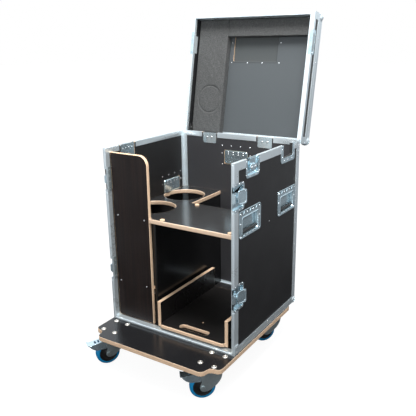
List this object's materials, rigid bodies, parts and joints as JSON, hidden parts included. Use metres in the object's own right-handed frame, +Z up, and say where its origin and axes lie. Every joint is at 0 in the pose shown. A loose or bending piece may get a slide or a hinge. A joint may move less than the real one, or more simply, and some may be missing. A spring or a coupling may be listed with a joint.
{
  "type": "lighting flight case",
  "caption": "Plywood and aluminium flight case on a castor board: hinged lid held open, shelf with round holes, sliding tray, recessed handles and turning latches.",
  "frame": {"origin": "on the floor under the middle of the bounding box, castors down, lid open", "axes": "+X to the right seen from the open front, +Y from the open front to the rear, +Z up"},
  "size_m": [0.638, 0.9274, 1.4144],
  "materials": {
    "dark_plywood": "dark resin film with a fine grain",
    "brown_plywood": "dark brown resin film, satin",
    "plain_plywood": "dark film with bare layered edges",
    "aluminium": "bright extrusion",
    "zinc_steel": "bright zinc plate",
    "grey_steel": "dull zinc plate",
    "rubber_grip": "matte rubber over a steel bail",
    "blue_tyre": "satin elastic tread on a black hub",
    "black_plastic": "matte",
    "grey_foam": "soft open foam"
  },
  "bodies": {
    "case": {"back_panel": "dark_plywood", "case_frame": "aluminium", "castor_board": "plain_plywood", "castor_plate_front_left": "zinc_steel", "castor_plate_front_right": "zinc_steel", "castor_plate_rear_left": "zinc_steel", "castor_plate_rear_right": "zinc_steel", "divider": "dark_plywood", "face_panel": "brown_plywood", "floor_panel": "dark_plywood", "handle_dish_back": "zinc_steel", "handle_dish_left_front": "zinc_steel", "handle_dish_left_rear": "zinc_steel", "handle_dish_right_front": "zinc_steel", "handle_dish_right_rear": "zinc_steel", "hinge_dish_left": "zinc_steel", "hinge_dish_right": "zinc_steel", "latch_dish_door_left_lower": "zinc_steel", "latch_dish_door_left_upper": "zinc_steel", "latch_dish_door_right_lower": "zinc_steel", "latch_dish_door_right_upper": "zinc_steel", "latch_dish_lid_left": "zinc_steel", "latch_dish_lid_right": "zinc_steel", "left_panel": "dark_plywood", "liner": "dark_plywood", "lower_shelf": "dark_plywood", "right_panel": "dark_plywood", "runner_left": "black_plastic", "runner_right": "black_plastic", "shelf": "dark_plywood", "top_rim_left": "aluminium", "top_rim_rear": "aluminium", "top_rim_right": "aluminium"},
    "lid": {"lid_frame": "aluminium", "lid_panel": "dark_plywood", "label_dish": "zinc_steel", "lid_band": "dark_plywood", "lid_foam": "grey_foam"},
    "bail_right_front": {"handle_bail_right_front": "rubber_grip"},
    "bail_right_rear": {"handle_bail_right_rear": "rubber_grip"},
    "bail_left_front": {"handle_bail_left_front": "rubber_grip"},
    "bail_left_rear": {"handle_bail_left_rear": "rubber_grip"},
    "bail_back": {"handle_bail_back": "rubber_grip"},
    "wing_lid_left": {"latch_wing_lid_left": "zinc_steel"},
    "wing_door_left_lower": {"latch_wing_door_left_lower": "zinc_steel"},
    "wing_door_left_upper": {"latch_wing_door_left_upper": "zinc_steel"},
    "wing_lid_right": {"latch_wing_lid_right": "zinc_steel"},
    "wing_door_right_lower": {"latch_wing_door_right_lower": "zinc_steel"},
    "wing_door_right_upper": {"latch_wing_door_right_upper": "zinc_steel"},
    "tray": {"tray": "dark_plywood"},
    "fork_front_left": {"castor_fork_front_left": "grey_steel"},
    "wheel_front_left": {"castor_wheel_front_left": "blue_tyre"},
    "pedal_front_left": {"brake_pedal_front_left": "zinc_steel"},
    "fork_front_right": {"castor_fork_front_right": "grey_steel"},
    "wheel_front_right": {"castor_wheel_front_right": "blue_tyre"},
    "pedal_front_right": {"brake_pedal_front_right": "zinc_steel"},
    "fork_rear_left": {"castor_fork_rear_left": "grey_steel"},
    "wheel_rear_left": {"castor_wheel_rear_left": "blue_tyre"},
    "fork_rear_right": {"castor_fork_rear_right": "grey_steel"},
    "wheel_rear_right": {"castor_wheel_rear_right": "blue_tyre"}
  },
  "joints": [
    {"name": "lid_hinge", "type": "hinge", "parent": "case", "child": "lid", "pos_m": [0.00541, 0.25694, 0.8855], "axis": [1, 0, 0], "range_deg": [0, 101]},
    {"name": "bail_right_front", "type": "hinge", "parent": "case", "child": "bail_right_front", "pos_m": [0.29761, -0.17056, 0.6805], "axis": [0, -1, 0], "range_deg": [0, 90], "stiffness_Nm_per_rad": 0.12},
    {"name": "bail_right_rear", "type": "hinge", "parent": "case", "child": "bail_right_rear", "pos_m": [0.29761, 0.14644, 0.6805], "axis": [0, -1, 0], "range_deg": [0, 90], "stiffness_Nm_per_rad": 0.12},
    {"name": "bail_left_front", "type": "hinge", "parent": "case", "child": "bail_left_front", "pos_m": [-0.28679, -0.17056, 0.6805], "axis": [0, 1, 0], "range_deg": [0, 90], "stiffness_Nm_per_rad": 0.12},
    {"name": "bail_left_rear", "type": "hinge", "parent": "case", "child": "bail_left_rear", "pos_m": [-0.28679, 0.14644, 0.6805], "axis": [0, 1, 0], "range_deg": [0, 90], "stiffness_Nm_per_rad": 0.12},
    {"name": "bail_back", "type": "hinge", "parent": "case", "child": "bail_back", "pos_m": [0.00341, 0.25264, 0.8175], "axis": [1, 0, 0], "range_deg": [0, 90], "stiffness_Nm_per_rad": 0.12},
    {"name": "wing_lid_left", "type": "hinge", "parent": "case", "child": "wing_lid_left", "pos_m": [-0.29279, -0.15456, 0.862], "axis": [-1, 0, 0], "range_deg": [0, 180]},
    {"name": "wing_door_left_lower", "type": "hinge", "parent": "case", "child": "wing_door_left_lower", "pos_m": [-0.29279, -0.25326, 0.388], "axis": [-1, 0, 0], "range_deg": [0, 180]},
    {"name": "wing_door_left_upper", "type": "hinge", "parent": "case", "child": "wing_door_left_upper", "pos_m": [-0.29279, -0.25326, 0.772], "axis": [-1, 0, 0], "range_deg": [0, 180]},
    {"name": "wing_lid_right", "type": "hinge", "parent": "case", "child": "wing_lid_right", "pos_m": [0.30361, -0.15456, 0.862], "axis": [1, 0, 0], "range_deg": [0, 180]},
    {"name": "wing_door_right_lower", "type": "hinge", "parent": "case", "child": "wing_door_right_lower", "pos_m": [0.30361, -0.25326, 0.388], "axis": [1, 0, 0], "range_deg": [0, 180]},
    {"name": "wing_door_right_upper", "type": "hinge", "parent": "case", "child": "wing_door_right_upper", "pos_m": [0.30361, -0.25326, 0.772], "axis": [1, 0, 0], "range_deg": [0, 180]},
    {"name": "tray_slide", "type": "slide", "parent": "case", "child": "tray", "axis": [0, -1, 0], "range_m": [0, 0.35]},
    {"name": "swivel_front_left", "type": "hinge", "parent": "case", "child": "fork_front_left", "pos_m": [-0.23509, -0.34686, 0.1269], "axis": [0, 0, 1], "continuous": true},
    {"name": "wheel_front_left", "type": "hinge", "parent": "fork_front_left", "child": "wheel_front_left", "pos_m": [-0.25739, -0.38186, 0.05], "axis": [0.8434, -0.5373, 0], "continuous": true},
    {"name": "pedal_front_left", "type": "hinge", "parent": "fork_front_left", "child": "pedal_front_left", "pos_m": [-0.26007, -0.38608, 0.1057], "axis": [0.8434, -0.5373, 0], "range_deg": [0, 12]},
    {"name": "swivel_front_right", "type": "hinge", "parent": "case", "child": "fork_front_right", "pos_m": [0.24591, -0.34686, 0.1269], "axis": [0, 0, 1], "continuous": true},
    {"name": "wheel_front_right", "type": "hinge", "parent": "fork_front_right", "child": "wheel_front_right", "pos_m": [0.21366, -0.37298, 0.05], "axis": [0.6293, -0.7771, 0], "continuous": true},
    {"name": "pedal_front_right", "type": "hinge", "parent": "fork_front_right", "child": "pedal_front_right", "pos_m": [0.20977, -0.37612, 0.1057], "axis": [0.6293, -0.7771, 0], "range_deg": [0, 12]},
    {"name": "swivel_rear_left", "type": "hinge", "parent": "case", "child": "fork_rear_left", "pos_m": [-0.23509, 0.15394, 0.1269], "axis": [0, 0, 1], "continuous": true},
    {"name": "wheel_rear_left", "type": "hinge", "parent": "fork_rear_left", "child": "wheel_rear_left", "pos_m": [-0.25263, 0.11633, 0.05], "axis": [0.9063, -0.4226, 0], "continuous": true},
    {"name": "swivel_rear_right", "type": "hinge", "parent": "case", "child": "fork_rear_right", "pos_m": [0.24591, 0.15394, 0.1269], "axis": [0, 0, 1], "continuous": true},
    {"name": "wheel_rear_right", "type": "hinge", "parent": "fork_rear_right", "child": "wheel_rear_right", "pos_m": [0.22094, 0.1208, 0.05], "axis": [0.7986, -0.6018, 0], "continuous": true}
  ]
}
